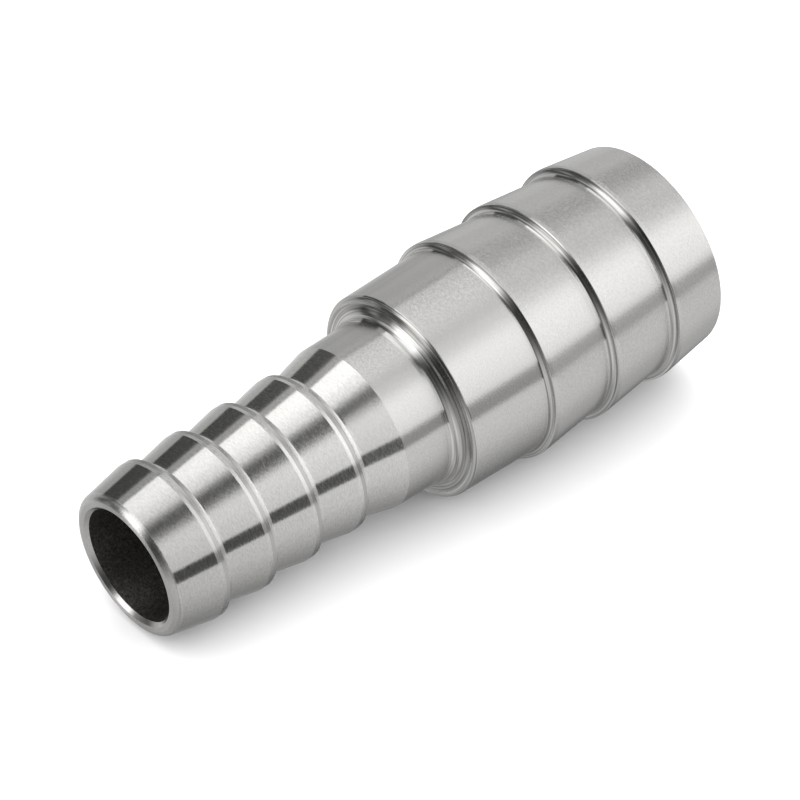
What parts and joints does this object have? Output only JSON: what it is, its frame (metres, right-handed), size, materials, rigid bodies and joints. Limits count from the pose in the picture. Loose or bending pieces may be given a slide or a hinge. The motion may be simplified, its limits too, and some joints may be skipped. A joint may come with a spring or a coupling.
{
  "type": "hose barb reducer",
  "caption": "One-piece turned steel hose reducer: a slim barbed end and a wide barbed end on one axis, joined by a neck, a shoulder and a collar, with a stepped through bore.",
  "frame": {"origin": "centre of the large end's face, on the bore axis, where the part stands", "axes": "+Z along the bore axis, from the large end up to the small end; the part is round about Z"},
  "size_m": [0.0203, 0.0202, 0.0564],
  "materials": {
    "steel": "turned stainless steel: polished small barbs, satin neck and large end, lathe marks on the shoulder faces"
  },
  "bodies": {
    "root": {"reducer": "steel"}
  },
  "joints": []
}
